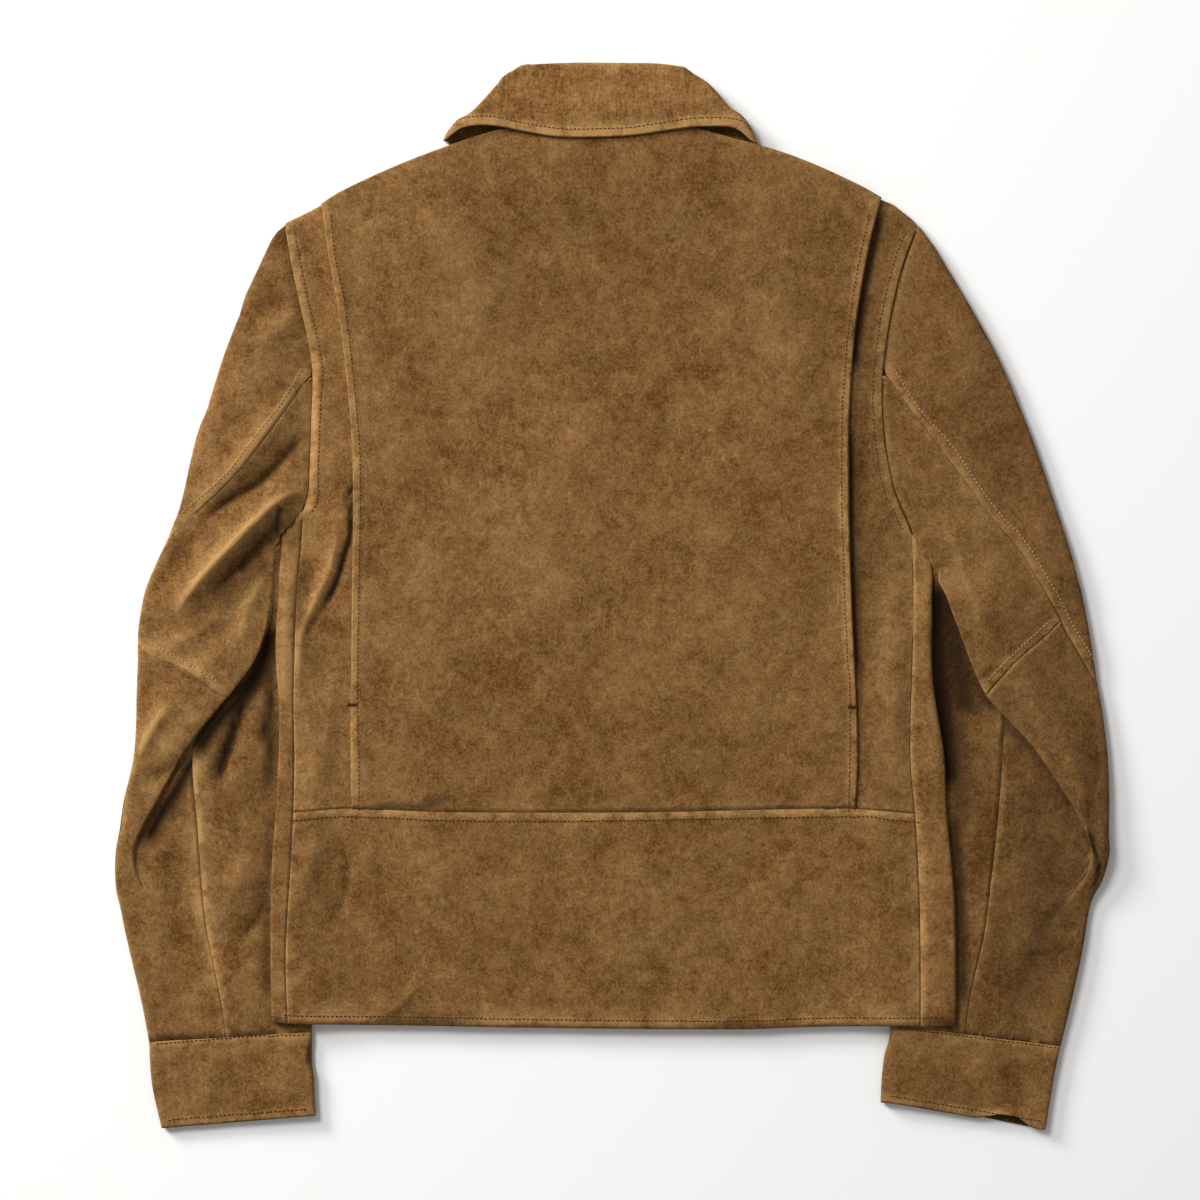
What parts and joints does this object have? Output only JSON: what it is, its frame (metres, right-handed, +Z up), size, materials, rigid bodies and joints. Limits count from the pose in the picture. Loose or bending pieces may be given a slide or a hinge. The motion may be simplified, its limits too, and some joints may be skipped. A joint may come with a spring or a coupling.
{
  "type": "suede jacket",
  "caption": "Suede bomber jacket laid flat on its front, with a folded collar, pleated back, bent sleeves and cuffs.",
  "frame": {"origin": "centre of the jacket's outline, on the surface that it lies on", "axes": "+Z up from the surface, through the thickness of the laid jacket; +Y from the hem to the collar; +X to the right, seen from above"},
  "size_m": [0.723, 0.7769, 0.0143],
  "materials": {
    "suede": "matte napped suede"
  },
  "bodies": {
    "root": {"back_center": "suede", "back_side_left": "suede", "back_side_right": "suede", "back_waist": "suede", "front_left": "suede", "front_right": "suede", "placket": "suede", "collar_fall": "suede", "collar_stand": "suede", "sleeve_outer_left": "suede", "sleeve_outer_right": "suede", "sleeve_elbow_left": "suede", "sleeve_elbow_right": "suede", "sleeve_forearm_left": "suede", "sleeve_forearm_right": "suede", "sleeve_inner_left": "suede", "sleeve_inner_right": "suede", "cuff_left": "suede", "cuff_right": "suede"}
  },
  "joints": []
}
